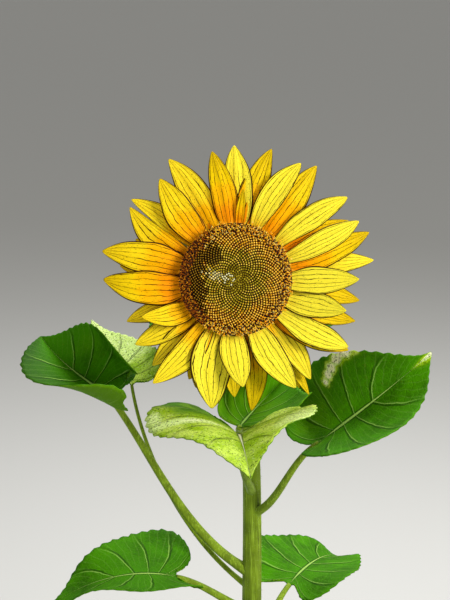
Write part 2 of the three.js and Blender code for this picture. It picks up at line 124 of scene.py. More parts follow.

# Leaves. node is the height where the petiole leaves the stem, base the place where it meets the blade, and
# arrive its direction there. heading, rise, droop, swing and length give the midrib's course, and roll tilts
# the blade round it. half, fold and bend hold a value for each side: its width, and how steeply it leaves
# the midrib and how far it curls, both at the base and at the tip. lobes and lift lengthen and raise the part
# behind the base, notch narrows the blade there, and trim narrows one side: (side, place, length, depth).
# ruffle is the margin's waves: (height, number, phase). thickness is a factor on the petiole's radius.
# pale holds the painted light on each side, mostly glare where the blade catches the light: its value near
# the base, near the tip, and the place where it changes. patches are places of more painted light or, below
# 0, of
# painted shade: (along, across, half length, half width, amount), in shares of the blade.
PLAIN, SLIGHTLY_LIT = ((0, 0, 0.5), (0, 0, 0.5)), ((0.1, 0.2, 0.5), (0.1, 0.2, 0.5))
BACK_LEAF = dict(rise=25, droop=45, swing=0, roll=0, half=(46, 46), fold=((12, 12), (12, 12)),
                 bend=((8, 8), (8, 8)), lobes=1, lift=10, pale=SLIGHTLY_LIT)
UPPER_LEAVES = [
    dict(name="right", node=535, base=(66, -45, 632), heading=99, rise=35, droop=-8, swing=-4, roll=58,
         half=(96, 80), fold=((75, -3), (-60, 75)), bend=((-2, 87), (44, -111)), lobes=1.6, lift=27,
         notch=0.2, ruffle=(2, 2, 0), length=140, arrive=(0.8, -0.2, 0.6), pale=PLAIN,
         patches=[(0.42, 0.55, 0.24, 0.5, 0.42), (0.74, 0.6, 0.2, 0.45, 0.1), (0.2, -0.5, 0.2, 0.5, 0.3),
                  (0.7, 1.0, 0.025, 0.1, 1.0), (0.67, 1.0, 0.02, 0.1, 3.2), (0.64, 0.9, 0.016, 0.08, 3.2),
                  (0.61, 0.81, 0.016, 0.08, 3.2), (0.585, 0.73, 0.014, 0.07, 3.2),
                  (0.56, 0.66, 0.012, 0.06, 2.8), (1.0, 0.0, 0.05, 2.0, 2.4)]),
    dict(name="left", node=470, base=(-140, 14, 659), heading=273, rise=35, droop=7, swing=-60, roll=-13,
         half=(84, 116), fold=((88, 32), (9, 48)), bend=((75, 66), (72, -96)), lobes=1.6, lift=20, notch=0.4,
         trim=(1, 0.33, 0.1, 0.3), ruffle=(2, 2, 0), length=100, arrive=(-0.55, -0.1, 0.8), thickness=1.15,
         pale=PLAIN,
         patches=[(0.67, -0.5, 0.16, 0.4, 0.3), (0.62, 0.6, 0.3, 0.5, -0.9), (0.75, 0.95, 0.3, 0.3, -1.1),
                  (0.45, 0.9, 0.08, 0.2, 0.3)]),
    dict(name="young", node=450, base=(-121, 58, 657), heading=196, rise=10, droop=-14, swing=16, roll=12,
         half=(45, 67), fold=((46, 3), (36, 19)), bend=((10, 13), (-3, 4)), lobes=1.1, lift=6,
         ruffle=(2, 3, 0.4), length=130, arrive=(-0.15, 0.2, 0.97), thickness=0.6,
         pale=((1.05, 1.3, 0.6), (1.05, 1.3, 0.6))),
    dict(name="front", node=560, base=(-13, -109, 664), heading=2, rise=20, droop=27, swing=3, roll=-1,
         half=(89, 74), fold=((44, 29), (27, 52)), bend=((-59, -96), (-15, -59)), lobes=1.9, lift=23,
         ruffle=(3, 3, 0), length=155, arrive=(0, -0.8, 0.6), pale=((0.52, 0.86, 0.5), (0.82, 0.82, 0.3)),
         patches=[(0.49, -0.93, 0.06, 0.13, 1.4), (0.56, -0.55, 0.03, 0.4, 1.7),
                  (0.6, 0.85, 0.16, 0.3, 1.4), (0.3, 0.2, 0.2, 0.3, 1.2)]),
    dict(name="middle", node=600, base=(-11, -65, 655), heading=172, rise=-8, droop=-40, swing=-42, roll=28,
         half=(74, 54), fold=((38, 51), (0, 60)), bend=((34, 18), (102, 47)), lobes=2.2, lift=1,
         ruffle=(2, 3, 0), length=126, arrive=(0.1, -0.8, 0.3), pale=PLAIN,
         patches=[(0.36, 0.6, 0.18, 0.6, 0.6), (0.7, -0.7, 0.2, 0.4, -0.5), (0.6, 0.0, 0.6, 1.5, 0.4)]),
    dict(BACK_LEAF, name="back_left", node=625, base=(-52, 70, 690), heading=205, ruffle=(3, 3, 0),
         length=104),
    dict(BACK_LEAF, name="back_right", node=650, base=(40, 74, 704), heading=150, ruffle=(3, 3, 1),
         length=112),
]
# How many leaves of the table get a finer mesh, and the rows and columns of the fine and the other meshes
FINE_LEAVES, FINE_MESH, COARSE_MESH = 5, (127, 33), (106, 25)
# The lower leaves: how many, the angle from each to the next, the lowest node, the spacing of the nodes and
# the heading of the lowest leaf
LOWER_LEAVES, GOLDEN_ANGLE, LOWEST_NODE, NODE_SPACING, FIRST_HEADING = 8, 137.5, 95, 47, 40
# The blade's outline from its base to its tip: distance along the midrib and half width, as shares
BLADE_OUTLINE = np.array([
    (0, 0.01), (-0.005, 0.07), (-0.06, 0.15), (-0.11, 0.27), (-0.06, 0.42), (0.1, 0.5), (0.28, 0.485),
    (0.46, 0.4), (0.64, 0.28), (0.8, 0.155), (0.92, 0.055), (1, 0.004)])


# Settings that a user would change

class SunflowerHead(bpy.types.PropertyGroup):
    """Settings of the rays and the seed disc"""
    ray_yellow: bpy.props.FloatVectorProperty(
        name="Ray yellow", description="Colour of the rays in full light", subtype="COLOR", size=3,
        default=(0.98, 0.84, 0.045))
    # Amber is the rays' own warm colour, and also painted shade on rays turned from the light or sheltered
    # behind others
    ray_amber_and_shade: bpy.props.FloatVectorProperty(
        name="Ray amber", description="Colour of the sheltered rays", subtype="COLOR", size=3,
        default=(0.92, 0.62, 0.0))
    ray_orange: bpy.props.FloatVectorProperty(
        name="Ray orange", description="Colour at the foot of the rays", subtype="COLOR", size=3,
        default=(1.0, 0.30, 0.0))
    vein_brown: bpy.props.FloatVectorProperty(
        name="Ray veins", description="Colour of the fine dark lines along the rays", subtype="COLOR", size=3,
        default=(0.025, 0.008, 0.0))
    floret_count: bpy.props.IntProperty(
        name="Florets", description="Number of florets on the seed disc", default=1560, min=400, max=4000)
    open_from: bpy.props.FloatProperty(
        name="Open from", description="Share of the disc's radius outside which florets are open",
        subtype="FACTOR", default=0.85, min=0.4, max=1.0)


class SunflowerLeaves(bpy.types.PropertyGroup):
    """Settings of the leaf blades"""
    leaf_green: bpy.props.FloatVectorProperty(
        name="Leaf green", description="Colour of a leaf's upper side", subtype="COLOR", size=3,
        default=(0.026, 0.112, 0.0))
    pale_green: bpy.props.FloatVectorProperty(
        name="Pale green", description="Colour of a leaf where it catches the light", subtype="COLOR", size=3,
        default=(0.56, 0.74, 0.10))
    vein_green: bpy.props.FloatVectorProperty(
        name="Leaf veins", description="Colour of the midrib and side veins", subtype="COLOR", size=3,
        default=(0.34, 0.56, 0.11))
    tooth_depth: bpy.props.FloatProperty(
        name="Tooth depth", description="Depth of the teeth round the blade", unit="LENGTH", default=0.0022,
        min=0.0, max=0.01)
    blade_thickness: bpy.props.FloatProperty(
        name="Blade thickness", description="Thickness of a leaf blade", unit="LENGTH", default=0.0011,
        min=0.0003, max=0.003)


class SunflowerStem(bpy.types.PropertyGroup):
    """Settings of the stem, the petioles and their hairs"""
    stem_green: bpy.props.FloatVectorProperty(
        name="Stem green", description="Colour of the stem and petioles", subtype="COLOR", size=3,
        default=(0.17, 0.26, 0.010))
    hair_length: bpy.props.FloatProperty(
        name="Hair length", description="Length of the bristly hairs", unit="LENGTH", default=0.0022,
        min=0.0, max=0.01)
    hair_count: bpy.props.IntProperty(
        name="Hairs", description="Number of hairs on the stem", default=2600, min=0, max=8000)


class SunflowerStage(bpy.types.PropertyGroup):
    """Settings of the lights"""
    key_power: bpy.props.FloatProperty(
        name="Key light", description="Power of the main light, from the front right",
        unit="POWER", default=62.0, min=0)
    fill_power: bpy.props.FloatProperty(
        name="Fill light", description="Power of the soft light, from the front left",
        unit="POWER", default=10.0, min=0)
    sky_power: bpy.props.FloatProperty(
        name="Top light", description="Power of the soft light, from above and behind",
        unit="POWER", default=45.0, min=0)


# Shader expressions

# How far red, green and blue light spreads inside a leaf or ray, in metres
LIGHT_DEPTH = (0.003, 0.002, 0.0008)


class Shade:
    """A value, colour or vector in a finish's node tree; arithmetic on values adds Math nodes."""

    def __init__(self, finish, socket):
        self.finish, self.socket = finish, socket

    def __add__(self, other):
        return self.finish.maths("ADD", self, other)

    def __sub__(self, other):
        return self.finish.maths("SUBTRACT", self, other)

    def __rsub__(self, other):
        return self.finish.maths("SUBTRACT", other, self)

    def __mul__(self, other):
        return self.finish.maths("MULTIPLY", self, other)

    __radd__, __rmul__ = __add__, __mul__


class Finish:
    """A named procedural material that is written as expressions."""

    def __init__(self, name, roughness=0.6, sheen=0.0, subsurface=0.0, gloss=0.25):
        self.material = bpy.data.materials.new(name)
        self.material.use_nodes = True
        self.tree = self.material.node_tree
        self.shader = next(n for n in self.tree.nodes if n.type == "BSDF_PRINCIPLED")
        plain = {"Roughness": roughness, "Sheen Weight": sheen, "Subsurface Weight": subsurface,
                 "Specular IOR Level": gloss, "Subsurface Radius": LIGHT_DEPTH, "Subsurface Scale": 1.0}
        for key, value in plain.items():
            self.shader.inputs[key].default_value = value

    def node(self, kind, settings, sockets, out=0):
        """Any node, with its settings and with values or links for its sockets; out is its output."""
        made = self.tree.nodes.new(kind)
        for key, value in settings.items():
            setattr(made, key, value)
        for key, value in sockets.items():
            if isinstance(value, Shade):
                self.tree.links.new(value.socket, made.inputs[key])
            else:
                made.inputs[key].default_value = value
        return Shade(self, made.outputs[out])

    def maths(self, operation, first, second=0.5):
        return self.node("ShaderNodeMath", dict(operation=operation), {0: first, 1: second})

    def feed(self, name, value):
        """Link a shade to an input of the surface shader, or set a plain colour or number there."""
        if isinstance(value, Shade):
            self.tree.links.new(value.socket, self.shader.inputs[name])
        else:
            self.shader.inputs[name].default_value = (*value, 1.0) if isinstance(value, tuple) else value

    def across(self):
        """The mesh's own layout as two values: along the piece and across it."""
        place = self.node("ShaderNodeUVMap", dict(uv_map="layout"), {})
        split = self.node("ShaderNodeSeparateXYZ", {}, {0: place})
        return split, Shade(self, split.socket.node.outputs[1])

    def place(self):
        return self.node("ShaderNodeTexCoord", {}, {}, out="Object")

    def tone(self):
        """Three values that each piece's mesh carries: red, green and blue of its tone attribute."""
        stored = self.node("ShaderNodeAttribute", dict(attribute_name="tone"), {}, out="Color")
        split = self.node("ShaderNodeSeparateColor", {}, {0: stored})
        return [Shade(self, output) for output in split.socket.node.outputs[:3]]

    def noise(self, where, scale, detail=3.0, roughness=0.55):
        return self.node("ShaderNodeTexNoise", dict(noise_dimensions="3D"),
                         {"Vector": where, "Scale": scale, "Detail": detail, "Roughness": roughness})

    def join(self, x, y, z):
        return self.node("ShaderNodeCombineXYZ", {}, {0: x, 1: y, 2: z})

    def ramp(self, value, low, high, start=0.0, end=1.0):
        """Rises smoothly from start to end while value goes from low to high."""
        return self.node("ShaderNodeMapRange", dict(interpolation_type="SMOOTHSTEP"),
                         {"Value": value, "From Min": low, "From Max": high, "To Min": start, "To Max": end})

    def blend(self, factor, first, second):
        colours = [value if isinstance(value, Shade) else (*value, 1.0) for value in (first, second)]
        mixed = {0: factor, 6: colours[0], 7: colours[1]}
        return self.node("ShaderNodeMix", dict(data_type="RGBA"), mixed, out=2)

    def stripes(self, value, count, width):
        """1 on thin lines at equal steps of value, 0 between them."""
        return self.ramp(self.maths("PINGPONG", value * count), width, width * 0.35)

    def relief(self, height, distance, strength=1.0):
        bump = {"Height": height, "Distance": distance, "Strength": strength}
        self.feed("Normal", self.node("ShaderNodeBump", {}, bump))


# Mesh making

def make_piece(name, points, faces, finish, replaces=(), slot=None, layout=None, tone=None, smooth=True):
    """A mesh piece from points in millimetres. layout holds a (u, v) and tone a colour for each point."""
    mesh = bpy.data.meshes.new(name)
    mesh.from_pydata((np.asarray(points, float) * MM).tolist(), [], [tuple(int(i) for i in f) for f in faces])
    mesh.polygons.foreach_set("use_smooth", [smooth] * len(mesh.polygons))
    if layout is not None:
        corners = np.empty(len(mesh.loops), dtype=np.int32)
        mesh.loops.foreach_get("vertex_index", corners)
        places = np.asarray(layout, np.float32)[corners]
        mesh.uv_layers.new(name="layout").data.foreach_set("uv", places.ravel())
    if tone is not None:
        tone = np.column_stack([tone, np.ones(len(tone))]).astype(np.float32)
        shade = mesh.color_attributes.new(name="tone", type="FLOAT_COLOR", domain="POINT")
        shade.data.foreach_set("color", tone.ravel())
    mesh.materials.append(finish.material)
    mesh.validate()
    piece = bpy.data.objects.new(name, mesh)
    bpy.context.scene.collection.objects.link(piece)
    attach(piece, "root")
    if replaces:
        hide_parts(*replaces)
    return piece


def scaled(colour, factor):
    return tuple(c * factor for c in colour)


def unit(vectors):
    return vectors / np.linalg.norm(vectors, axis=-1, keepdims=True)


def grid_faces(rows, columns, offset=0, closed=False, flip=False):
    """Quads of a grid of points that is stored row by row."""
    across = columns if closed else columns - 1
    row, column = np.meshgrid(np.arange(rows - 1), np.arange(across), indexing="ij")
    after = (column + 1) % columns
    quads = np.stack([row * columns + column, row * columns + after, (row + 1) * columns + after,
                      (row + 1) * columns + column], -1).reshape(-1, 4) + offset
    return quads[:, ::-1] if flip else quads


def ring_faces(rows, sides, foot=True):
    """Faces of a tube that is stored ring by ring, closed at its tip and, if wanted, at its foot."""
    faces = [list(quad) for quad in grid_faces(rows, sides, closed=True)]
    faces.append(list(range((rows - 1) * sides, rows * sides)))
    if foot:
        faces.append(list(range(sides))[::-1])
    return faces


def sheet_normal(top):
    normal = np.cross(np.gradient(top, axis=1), np.gradient(top, axis=0))
    return normal / (np.linalg.norm(normal, axis=2, keepdims=True) + 1e-9)


def shell(top, thickness):
    """A thin closed sheet round a grid of points. Returns points, faces and 0 or 1 for the two sides."""
    rows, columns = top.shape[:2]
    half = sheet_normal(top) * np.broadcast_to(thickness, (rows, columns))[..., None] / 2
    points = np.concatenate([(top + half).reshape(-1, 3), (top - half).reshape(-1, 3)])
    count = rows * columns
    faces = [grid_faces(rows, columns), grid_faces(rows, columns, count, flip=True)]
    index = np.arange(count).reshape(rows, columns)
    rim = np.concatenate([index[0, :], index[1:, -1], index[-1, -2::-1], index[-2:0:-1, 0]])
    after = np.roll(rim, -1)
    faces.append(np.stack([after, rim, rim + count, after + count], -1))
    return points, np.concatenate(faces), np.repeat([0.0, 1.0], count)


def sheet_layout(along, across):
    """The layout of a shell's points: along it from 0 to 1, and across it from -1 to 1 brought to 0 to 1."""
    u, v = np.broadcast_arrays(along, across / 2 + 0.5)
    return np.tile(np.stack([u, v], -1).reshape(-1, 2), (2, 1))


def head_point(clock, radius, height):
    """Points of the head from clock angles, distances from the axis and heights in front of the rim."""
    angle = np.radians(clock)
    right, up, front = radius * np.sin(angle), radius * np.cos(angle), height + 0 * angle
    return (HEAD_CENTRE + HEAD_RIGHT * np.expand_dims(right, -1) + HEAD_UP * np.expand_dims(up, -1)
            + FACING * np.expand_dims(front, -1))


def head_rings(profile, sides):
    """A closed surface of rings round the head's axis, from (radius, height) pairs."""
    clocks = np.linspace(0, 360, sides, endpoint=False)
    rows = [head_point(clocks, np.full(sides, float(r)), np.full(sides, float(h))) for r, h in profile]
    return np.concatenate(rows), ring_faces(len(rows), sides)


def joined(parts):
    """Several (points, faces) as one."""
    points, faces, offset = [], [], 0
    for part_points, part_faces in parts:
        points.append(part_points)
        faces.extend([[i + offset for i in face] for face in part_faces])
        offset += len(part_points)
    return np.concatenate(points), faces


# Rays

def ray_finish(settings):
    finish = Finish("ray_floret", roughness=0.6, subsurface=0.1, gloss=0.06)
    along, across = finish.across()
    warmth_and_shade, _, seed = finish.tone()

    def grain(length, width, shift, scale, detail=3.0):
        return finish.noise(finish.join(along * length, across * width, seed * shift), scale, detail)

    drift = finish.noise(finish.join(along * 3.0 + seed * 40.0, across * 2.0, seed * 9.0), 1.6)
    # Each ray's warmth is partly its own orange and partly painted shade on rays turned from the light or
    # behind others
    reach = along - warmth_and_shade * 0.34 + drift * 0.3 - 0.15
    foot = finish.ramp(reach, -0.15, 0.42, 1.0, 0.0) * (warmth_and_shade + 0.28)
    yellow = finish.blend(warmth_and_shade, settings.ray_yellow, settings.ray_amber_and_shade)
    middle = tuple((a + b) / 2 for a, b in zip(settings.ray_amber_and_shade, settings.ray_orange))
    colour = finish.blend(finish.ramp(foot, 0.02, 0.55), yellow, middle)
    colour = finish.blend(finish.ramp(foot, 0.7, 1.25), colour, settings.ray_orange)
    # Painted shade: the tips of the warmest rays, turned from the light, darken towards a dull amber
    painted_tip_shade = finish.ramp(along, 0.5, 1.0) * finish.ramp(warmth_and_shade, 0.72, 0.95, 0.0, 0.6)
    colour = finish.blend(painted_tip_shade, colour, scaled(settings.ray_amber_and_shade, 0.5))
    streaks = grain(1.4, 26.0, 31.0, 1.0, 4.0)
    streaked = finish.ramp(streaks, 0.42, 0.75, 0.0, 0.35)
    colour = finish.blend(streaked, colour, scaled(settings.ray_amber_and_shade, 0.7))
    veins = finish.stripes(across + grain(2.0, 2.2, 23.0, 2.0) * 0.16, 6.0, 0.082)
    lines = veins * finish.ramp(grain(5.0, 16.0, 17.0, 1.3), 0.36, 0.46, 0.15, 1.0)
    # A dark margin round each ray: partly a drawn edge and partly painted shade where the rays meet
    margin = finish.ramp(finish.maths("PINGPONG", across), 0.06, 0.03)
    dots = finish.ramp(grain(46.0, 30.0, 53.0, 1.0, 1.0), 0.64, 0.70)
    ink = finish.maths("MAXIMUM", finish.maths("MAXIMUM", lines, margin), dots * 0.6)
    finish.feed("Base Color", finish.blend(ink, colour, settings.vein_brown))
    finish.feed("Roughness", 0.46 + streaks * 0.2)
    finish.relief(streaks * 0.4 - veins * 0.8, 0.0006, 0.7)
    return finish


def ray_outline(t, slender):
    """Half the width of a ray by the share of its length. A slender foot shows the rays behind it."""
    blade = 3.6 * t ** 1.15 if slender else 3.25 * t ** 0.8
    return 0.3 * (1 - t) ** 3 + blade * (1 - t) ** 0.85


def ray_sheet(ray, plate_height, slope, curl, rng):
    """The middle surface of one ray: a pleated, slightly cupped and twisted blade."""
    clock, sweep, reach, width, lean, _, skew = (*ray, 0)[:7]
    t = np.minimum(np.linspace(0, 1, RAY_ROWS) ** 0.9, 0.992)[:, None]
    v = np.linspace(-1, 1, RAY_COLUMNS)[None, :]
    radius = RAY_ROOT + (reach - RAY_ROOT) * t
    free = np.maximum(0, (radius - FREE_RADIUS) / (reach - FREE_RADIUS))
    rise = plate_height + slope * free - curl * free ** 2 + lean * free ** 2
    uneven = 1 + rng.uniform(-0.12, 0.12) * np.sign(v) * np.sin(math.pi * t)
    ripple = 1 + 0.035 * np.sin(t * rng.uniform(9, 15) + rng.uniform(0, 6) + 2 * v)
    half = width / 2 * ray_outline(t, clock in SLENDER_FEET) * uneven * ripple * (1 + skew * np.sign(v))
    here = clock + sweep * t ** 1.5
    spine = head_point(here, radius, rise)
    sideways = head_point(here + 90, np.ones_like(t), 0) - HEAD_CENTRE
    pleats = 0.55 * np.cos(v * math.pi * 2.5 + rng.uniform(-0.5, 0.5)) * np.sin(math.pi * t) ** 0.6
    cup = rng.uniform(-0.1, 0.16) * half * v ** 2
    twist = math.tan(math.radians(rng.uniform(5, 11))) * half * v * (1 - 0.5 * t)
    curl_tip = rng.uniform(-2.5, 2.5) * np.clip(t - 0.72, 0, 1) ** 2 * 12
    height = pleats + cup + twist + curl_tip
    return spine + sideways * (half * v)[..., None] + FACING * height[..., None], t + 0 * v, v + 0 * t


def hash_of(word, number):
    """A seed that is the same on every run."""
    return sum(ord(letter) * 31 ** place for place, letter in enumerate(word)) + 7919 * number


class GrowRays(bpy.types.Operator):
    """Grow the three whorls of yellow rays round the head"""
    bl_idname = "sunflower.grow_rays"
    bl_label = "Rays"

    def execute(self, context):
        finish = ray_finish(context.scene.sunflower_head)
        for whorl, (height, slope, curl, rays) in WHORLS.items():
            for index, ray in enumerate(rays):
                rng = random.Random(hash_of(whorl, index))
                lift = height + (RAY_STAGGER if index % 2 else -RAY_STAGGER)
                top, along, across = ray_sheet(ray, lift, slope, curl, rng)
                points, faces, side = shell(top, RAY_THICKNESS * np.clip(1.15 - np.abs(across), 0.3, 1))
                tone = np.stack([np.full(len(points), ray[5]), side, np.full(len(points), rng.random())], -1)
                make_piece(f"ray_{whorl}_{index + 1}", points, faces, finish,
                           replaces=[f"ray_whorl_{whorl}"] if index == 0 else (),
                           slot="ray_shaded" if whorl == "back" else "ray",
                           layout=sheet_layout(along, across), tone=tone)
        return {"FINISHED"}


# Seed disc

def plain_finish(name, colour, roughness=0.7):
    """A plain base colour with a fine grain in its roughness."""
    finish = Finish(name, roughness=roughness, gloss=0.04)
    finish.feed("Base Color", colour)
    finish.feed("Roughness", roughness - 0.1 + finish.noise(finish.place(), 900.0, 2.0) * 0.25)
    return finish


def disc_height(radius):
    return np.interp(np.asarray(radius) / DISC_RADIUS, *DISC_PROFILE)


def disc_frame(clock, radius):
    """A floret's foot on the disc and its three axes: outwards, round and up from the surface."""
    foot = head_point(clock, radius, disc_height(radius))
    outwards = unit(head_point(clock, radius + 0.5, disc_height(radius + 0.5)) - foot)
    around = head_point(clock + 90, 1.0, 0.0) - HEAD_CENTRE
    up = np.cross(outwards, around)
    return foot, outwards, around, up * np.sign(np.dot(up, FACING))


def turned(profile, sides, foot, outwards, around, up, spin=0.0, star=0.0):
    """A small lathe of (radius, height) rings at a floret's foot, closed at its tip."""
    points = []
    for radius, height in profile:
        for i in range(sides):
            angle = spin + 2 * math.pi * i / sides
            r = radius * (1 + star * (1 if i % 2 else -1))
            x, y = r * math.cos(angle), r * math.sin(angle)
            points.append(foot + outwards * x + around * y + up * height)
    return np.array(points), ring_faces(len(profile), sides, foot=False)


def curl(foot, direction, up, length, thickness, bend, steps=4):
    """A three-sided tapering thread that leaves its foot upwards and curls over towards direction."""
    side = np.cross(direction, up)
    points = []
    place, angle = np.array(foot, float), 0.25
    for i in range(steps + 1):
        t = i / steps
        heading = up * math.cos(angle) + direction * math.sin(angle)
        across = np.cross(side, heading)
        r = thickness * (1 - 0.55 * t)
        for k in range(3):
            a = 2 * math.pi * k / 3
            points.append(place + side * (r * math.cos(a)) + across * (r * math.sin(a)))
        place = place + heading * (length / steps)
        angle += bend / steps
    return np.array(points), ring_faces(steps + 1, 3, foot=False)


class GrowDisc(bpy.types.Operator):
    """Grow the seed disc: its domed bed, the closed florets in spirals and the open florets round the rim"""
    bl_idname = "sunflower.grow_disc"
    bl_label = "Seed disc"

    def execute(self, context):
        settings = context.scene.sunflower_head
        rng = random.Random(11)
        self.bed()
        groups = {}

        def add(group, part):
            groups.setdefault(group, []).append(part)

        for i in range(1, settings.floret_count):
            share = (i / settings.floret_count) ** 0.54
            clock = (i * FLORET_ANGLE) % 360
            foot, outwards, around, up = disc_frame(clock, (DISC_RADIUS - 1.0) * share)
            right, high = share * math.sin(math.radians(clock)), share * math.cos(math.radians(clock))
            # Painted shade: florets in a hollow high on the left and along the left side, turned from the
            # light, take darker colours
            hollow_shade = math.exp(-((right + 0.42) ** 2 + (high - 0.45) ** 2) / 0.035)
            in_painted_shade = max(1.3 * hollow_shade, min(1.0, max(0.0, -right - 0.3) * 2.2)) > 0.25 + 0.5 * rng.random()
            if share < settings.open_from - 0.03 + rng.uniform(-0.015, 0.015):
                size = 0.86 + 0.3 * share
                tall = 1.2 + 0.9 * share + rng.uniform(-0.12, 0.12)
                body = [(size * 0.9, -1.2), (size, tall * 0.5), (size * 0.72, tall * 0.88),
                        (size * 0.25, tall)]
                body = turned(body, 6, foot, outwards, around, up, spin=0.3)
                olive = 1 - share / 0.66 + rng.uniform(-0.16, 0.16)
                # A painted highlight: a pale patch left of the middle, where the disc catches the light
                shine = math.exp(-(right + 0.29) ** 2 / 0.07 - (high + 0.2 * right + 0.01) ** 2 / 0.010)
                if shine > 0.15 + 0.75 * rng.random():
                    add("centre_highlight" if rng.random() < 0.75 else "centre_bright", body)
                elif olive > 0.1:
                    add("centre_painted_shade" if in_painted_shade else
                        "centre_bright" if rng.random() < 0.4 else "centre_olive", body)
                else:
                    add("middle_painted_shade" if in_painted_shade else
                        "middle_ochre" if rng.random() < 0.55 else "middle_brown", body)
                if share > 0.25:
                    tip = [(size * 0.6, tall * 0.8), (size * 0.58, tall * 1.08), (size * 0.2, tall * 1.24)]
                    tip = turned(tip, 5, foot, outwards, around, up)
                    gold = rng.random() < 0.1 + share
                    like_body = "middle_ochre" if olive < 0.3 else "centre_bright"
                    add("tip_painted_shade" if in_painted_shade else "tip_gold" if gold else like_body, tip)
            else:
                far_out = 1 if share < 0.93 else 1.6
                lean = up + outwards * rng.uniform(-0.2, 0.4) * far_out + around * rng.uniform(-0.3, 0.3)
                lean = unit(lean)
                tall = rng.uniform(2.2, 3.8)
                body = [(0.5, -1.0), (0.45, tall * 0.6), (0.75, tall * 0.82), (0.3, tall)]
                body = turned(body, 5, foot, outwards, around, lean, spin=rng.random() * 6, star=0.2)
                # An open floret in painted shade takes the dark brown
                add("rim_brown" if in_painted_shade else rng.choice(TUBE_COLOURS), body)
                for _ in range(4):
                    angle = rng.random() * 2 * math.pi
                    direction = outwards * math.cos(angle) + around * math.sin(angle)
                    thread = curl(foot + lean * tall * 0.75, direction, lean, rng.uniform(1.8, 3.2),
                                  thickness=0.26, bend=rng.uniform(1.4, 3.0))
                    add(rng.choice(PAINTED_SHADE_THREADS if in_painted_shade else BRIGHT_THREADS), thread)
        for group, parts in groups.items():
            finish = plain_finish(f"floret_{group}", FLORET_COLOURS[group])
            make_piece(f"florets_{group}", *joined(parts), finish, slot="seed_disc",
                       smooth=group.startswith("rim"))
        return {"FINISHED"}

    def bed(self):
        """The dark domed bed that the florets stand on, closed behind by its flat back."""
        rings = [(DISC_RADIUS * s, disc_height(DISC_RADIUS * s) - 1.1) for s in np.linspace(0.02, 0.985, 30)]
        points, faces = head_rings([*rings, (52.6, 2.0), (50.0, 0.0)], sides=96)
        finish = Finish("disc_bed", roughness=0.85)
        grain = finish.noise(finish.place(), 420.0, 3.0)
        colour = finish.blend(finish.ramp(grain, 0.4, 0.65), (0.022, 0.007, 0.001), (0.06, 0.02, 0.003))
        finish.feed("Base Color", colour)
        finish.relief(grain, 0.0006)
        make_piece("disc_bed", points, faces, finish, replaces=["seed_disc"], slot="seed_disc")


# Stem and petioles

def stem_line(count=400):
    """Points at equal distances along the stem's centre line, which is a centripetal Catmull-Rom curve."""
    knots = [np.array(p, float) for p in STEM_LINE]
    knots = [2 * knots[0] - knots[1], *knots, 2 * knots[-1] - knots[-2]]
    fine = []
    for k in range(1, len(knots) - 2):
        p0, p1, p2, p3 = knots[k - 1:k + 3]
        d0, d1, d2 = [max(np.linalg.norm(b - a) ** 0.5, 1e-4) for a, b in ((p0, p1), (p1, p2), (p2, p3))]
        m1 = ((p1 - p0) / d0 - (p2 - p0) / (d0 + d1) + (p2 - p1) / d1) * d1
        m2 = ((p2 - p1) / d1 - (p3 - p1) / (d1 + d2) + (p3 - p2) / d2) * d1
        t = np.linspace(0, 1, 60, endpoint=k == len(knots) - 3)[:, None]
        square, cube = -3 * p1 + 3 * p2 - 2 * m1 - m2, 2 * p1 - 2 * p2 + m1 + m2
        fine.append(p1 + m1 * t + square * t ** 2 + cube * t ** 3)
    return even_steps(np.concatenate(fine), count)


def even_steps(line, count):
    length = np.concatenate([[0], np.cumsum(np.linalg.norm(np.diff(line, axis=0), axis=1))])
    wanted = np.linspace(0, length[-1], count)
    return np.stack([np.interp(wanted, length, line[:, k]) for k in range(3)], -1)


def axes_along(line):
    """Two directions across a line at each of its points, carried along it without twist."""
    tangent = unit(np.gradient(line, axis=0))
    first = np.zeros_like(line)
    start = np.cross(tangent[0], [0, 1, 0.1])
    for i in range(len(line)):
        start = unit(start - tangent[i] * np.dot(start, tangent[i]))
        first[i] = start
    return tangent, first, np.cross(tangent, first)


def tube(line, radius, sides, ribs=0, rib_height=0.0):
    """A tapering ribbed tube. Returns its points, faces, layout and the surface's outward directions."""
    _, first, second = axes_along(line)
    angle = np.linspace(0, 2 * math.pi, sides, endpoint=False)
    swell = 1 + rib_height * np.cos(angle * ribs)
    out = first[:, None] * np.cos(angle)[None, :, None] + second[:, None] * np.sin(angle)[None, :, None]
    points = line[:, None] + out * (np.asarray(radius)[:, None] * swell[None])[..., None]
    u = np.repeat(np.linspace(0, 1, len(line)), sides)
    v = np.tile(np.arange(sides) / sides, len(line))
    return points.reshape(-1, 3), ring_faces(len(line), sides), np.stack([u, v], -1), out.reshape(-1, 3)


def stem_radius(line):
    t = np.linspace(0, 1, len(line))
    taper = STEM_FOOT_RADIUS + (NECK_RADIUS - STEM_FOOT_RADIUS) * np.minimum(1, t / NECK_START)
    s = np.clip((t - NECK_START) / (1 - NECK_START), 0, 1)
    flare = ROOT_FLARE * np.exp(-np.maximum(0, line[:, 2]) / FLARE_HEIGHT)
    return taper + flare + NECK_SWELL * s * s * (3 - 2 * s)


